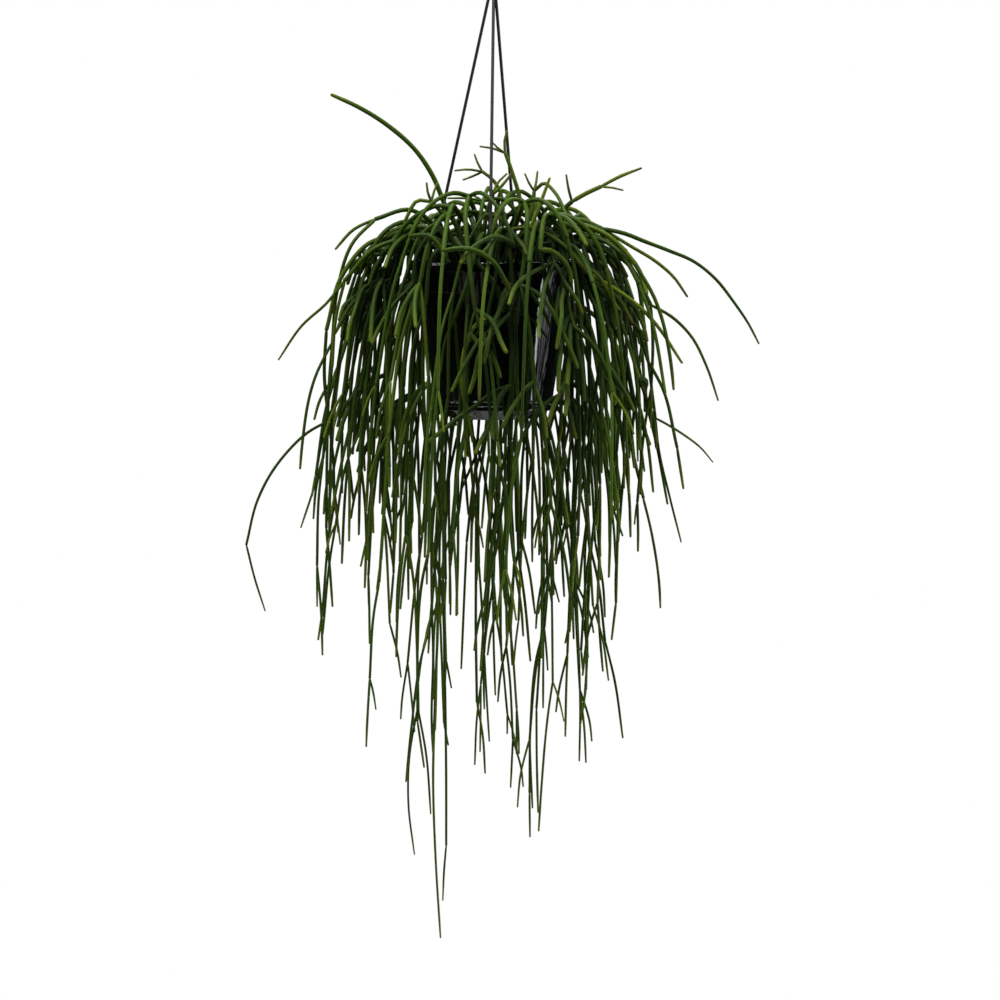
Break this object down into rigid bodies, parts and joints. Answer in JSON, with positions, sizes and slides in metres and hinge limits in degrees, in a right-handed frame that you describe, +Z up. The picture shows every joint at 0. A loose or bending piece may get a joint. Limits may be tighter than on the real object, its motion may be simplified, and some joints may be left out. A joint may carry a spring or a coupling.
{
  "type": "hanging potted mistletoe cactus",
  "caption": "Slender leafless green stems fork at their joints, arch over the rim and hang in a long curtain from a round black pot with a saucer and a hooked strand hanger.",
  "frame": {"origin": "the point inside the hook's crook where it bears on what it hangs from", "axes": "+Z up through the pot's axis; +Y from the front of the pot to its back, where two of the hanger's strands are; +X to the right as seen from the front"},
  "size_m": [0.4471, 0.3919, 0.8559],
  "materials": {
    "hanger_plastic": "satin black moulded polypropylene",
    "pot_plastic": "glossy black injection-moulded plastic",
    "potting_soil": "coarse dark potting mix of bark and peat",
    "stem_green": "smooth waxy living stem, mid green, yellower at young tips"
  },
  "bodies": {
    "root": {"hanger": "hanger_plastic", "pot": "pot_plastic", "saucer": "pot_plastic", "soil": "potting_soil", "spray_01": "stem_green", "spray_02": "stem_green", "spray_03": "stem_green", "spray_04": "stem_green", "spray_05": "stem_green", "spray_06": "stem_green", "spray_07": "stem_green", "spray_08": "stem_green", "spray_09": "stem_green", "spray_10": "stem_green", "spray_11": "stem_green", "spray_12": "stem_green", "spray_13": "stem_green", "spray_14": "stem_green", "spray_15": "stem_green", "spray_16": "stem_green", "spray_17": "stem_green", "spray_18": "stem_green", "spray_19": "stem_green", "spray_20": "stem_green", "spray_21": "stem_green", "spray_22": "stem_green", "spray_23": "stem_green", "spray_24": "stem_green", "spray_25": "stem_green", "spray_26": "stem_green", "spray_27": "stem_green", "spray_28": "stem_green", "spray_29": "stem_green", "spray_30": "stem_green", "spray_31": "stem_green", "spray_32": "stem_green", "spray_33": "stem_green", "spray_34": "stem_green", "spray_35": "stem_green", "spray_36": "stem_green", "spray_37": "stem_green", "spray_38": "stem_green", "spray_39": "stem_green", "spray_40": "stem_green", "spray_41": "stem_green", "spray_42": "stem_green", "spray_43": "stem_green", "spray_44": "stem_green", "spray_45": "stem_green", "spray_46": "stem_green", "spray_47": "stem_green", "spray_48": "stem_green", "spray_49": "stem_green", "spray_50": "stem_green", "spray_51": "stem_green", "spray_52": "stem_green", "spray_53": "stem_green", "spray_54": "stem_green"}
  },
  "joints": []
}
